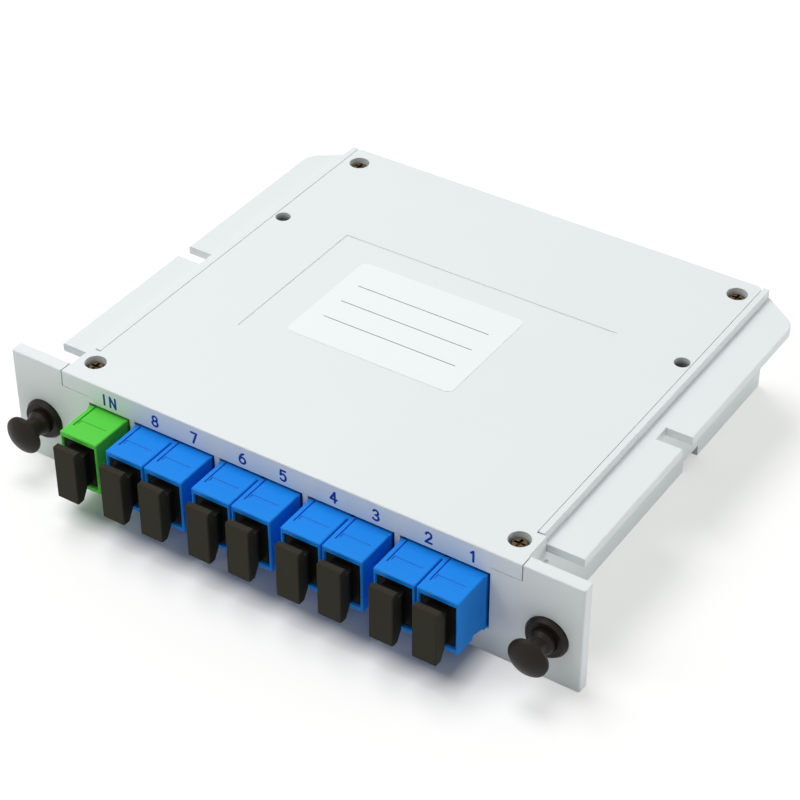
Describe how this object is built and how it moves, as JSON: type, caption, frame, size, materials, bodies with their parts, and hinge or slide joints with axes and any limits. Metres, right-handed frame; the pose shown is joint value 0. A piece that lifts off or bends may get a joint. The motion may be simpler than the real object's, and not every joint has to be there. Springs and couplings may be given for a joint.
{
  "type": "plc fibre splitter",
  "caption": "Plug-in splitter cassette: flat case with a wide front panel, capped fibre ports in a row, side guide rails and a push-pull latch at each end.",
  "frame": {"origin": "under the middle of the whole cassette with its caps and plungers, on the case's bottom plane", "axes": "+X along the panel with the first output at the +X end, +Y from the panel into the case, +Z from the bottom to the lid"},
  "size_m": [0.13, 0.1146, 0.0245],
  "materials": {
    "case_plastic": "light grey moulded plastic, fine satin grain",
    "label_paper": "blank white sticker",
    "screw_brass": "yellow zinc, dull",
    "latch_plastic": "black nylon, soft sheen",
    "adapter_green": "green moulded plastic",
    "adapter_blue": "blue moulded plastic",
    "cap_plastic": "black soft plastic",
    "sleeve_ceramic": "white zirconia",
    "connector_green": "green moulded plastic",
    "connector_blue": "blue moulded plastic",
    "module_steel": "brushed stainless tube",
    "fibre_jacket": "white fibre jacket",
    "ribbon": "clear coated fibre ribbon"
  },
  "bodies": {
    "housing": {"base": "case_plastic", "lid": "case_plastic", "label": "label_paper", "cover_screws": "screw_brass", "grommet_left": "latch_plastic", "grommet_right": "latch_plastic", "splitter_module": "module_steel", "fibre_coil": "fibre_jacket", "output_ribbon": "ribbon", "input_lead": "fibre_jacket", "adapter_in": "adapter_green", "sleeve_in": "sleeve_ceramic", "connector_in": "connector_green", "pigtail_in": "fibre_jacket", "adapter_8": "adapter_blue", "sleeve_8": "sleeve_ceramic", "connector_8": "connector_blue", "pigtail_8": "fibre_jacket", "adapter_7": "adapter_blue", "sleeve_7": "sleeve_ceramic", "connector_7": "connector_blue", "pigtail_7": "fibre_jacket", "adapter_6": "adapter_blue", "sleeve_6": "sleeve_ceramic", "connector_6": "connector_blue", "pigtail_6": "fibre_jacket", "adapter_5": "adapter_blue", "sleeve_5": "sleeve_ceramic", "connector_5": "connector_blue", "pigtail_5": "fibre_jacket", "adapter_4": "adapter_blue", "sleeve_4": "sleeve_ceramic", "connector_4": "connector_blue", "pigtail_4": "fibre_jacket", "adapter_3": "adapter_blue", "sleeve_3": "sleeve_ceramic", "connector_3": "connector_blue", "pigtail_3": "fibre_jacket", "adapter_2": "adapter_blue", "sleeve_2": "sleeve_ceramic", "connector_2": "connector_blue", "pigtail_2": "fibre_jacket", "adapter_1": "adapter_blue", "sleeve_1": "sleeve_ceramic", "connector_1": "connector_blue", "pigtail_1": "fibre_jacket"},
    "cap_in_body": {"cap_in": "cap_plastic"},
    "cap_8_body": {"cap_8": "cap_plastic"},
    "cap_7_body": {"cap_7": "cap_plastic"},
    "cap_6_body": {"cap_6": "cap_plastic"},
    "cap_5_body": {"cap_5": "cap_plastic"},
    "cap_4_body": {"cap_4": "cap_plastic"},
    "cap_3_body": {"cap_3": "cap_plastic"},
    "cap_2_body": {"cap_2": "cap_plastic"},
    "cap_1_body": {"cap_1": "cap_plastic"},
    "plunger_left_body": {"plunger_left": "latch_plastic"},
    "plunger_right_body": {"plunger_right": "latch_plastic"}
  },
  "joints": [
    {"name": "cap_in_pull", "type": "slide", "parent": "housing", "child": "cap_in_body", "axis": [0, -1, 0], "range_m": [0, 0.03]},
    {"name": "cap_8_pull", "type": "slide", "parent": "housing", "child": "cap_8_body", "axis": [0, -1, 0], "range_m": [0, 0.03]},
    {"name": "cap_7_pull", "type": "slide", "parent": "housing", "child": "cap_7_body", "axis": [0, -1, 0], "range_m": [0, 0.03]},
    {"name": "cap_6_pull", "type": "slide", "parent": "housing", "child": "cap_6_body", "axis": [0, -1, 0], "range_m": [0, 0.03]},
    {"name": "cap_5_pull", "type": "slide", "parent": "housing", "child": "cap_5_body", "axis": [0, -1, 0], "range_m": [0, 0.03]},
    {"name": "cap_4_pull", "type": "slide", "parent": "housing", "child": "cap_4_body", "axis": [0, -1, 0], "range_m": [0, 0.03]},
    {"name": "cap_3_pull", "type": "slide", "parent": "housing", "child": "cap_3_body", "axis": [0, -1, 0], "range_m": [0, 0.03]},
    {"name": "cap_2_pull", "type": "slide", "parent": "housing", "child": "cap_2_body", "axis": [0, -1, 0], "range_m": [0, 0.03]},
    {"name": "cap_1_pull", "type": "slide", "parent": "housing", "child": "cap_1_body", "axis": [0, -1, 0], "range_m": [0, 0.03]},
    {"name": "plunger_left_push", "type": "slide", "parent": "housing", "child": "plunger_left_body", "axis": [0, 1, 0], "range_m": [0, 0.0044]},
    {"name": "plunger_right_push", "type": "slide", "parent": "housing", "child": "plunger_right_body", "axis": [0, 1, 0], "range_m": [0, 0.0044]}
  ]
}
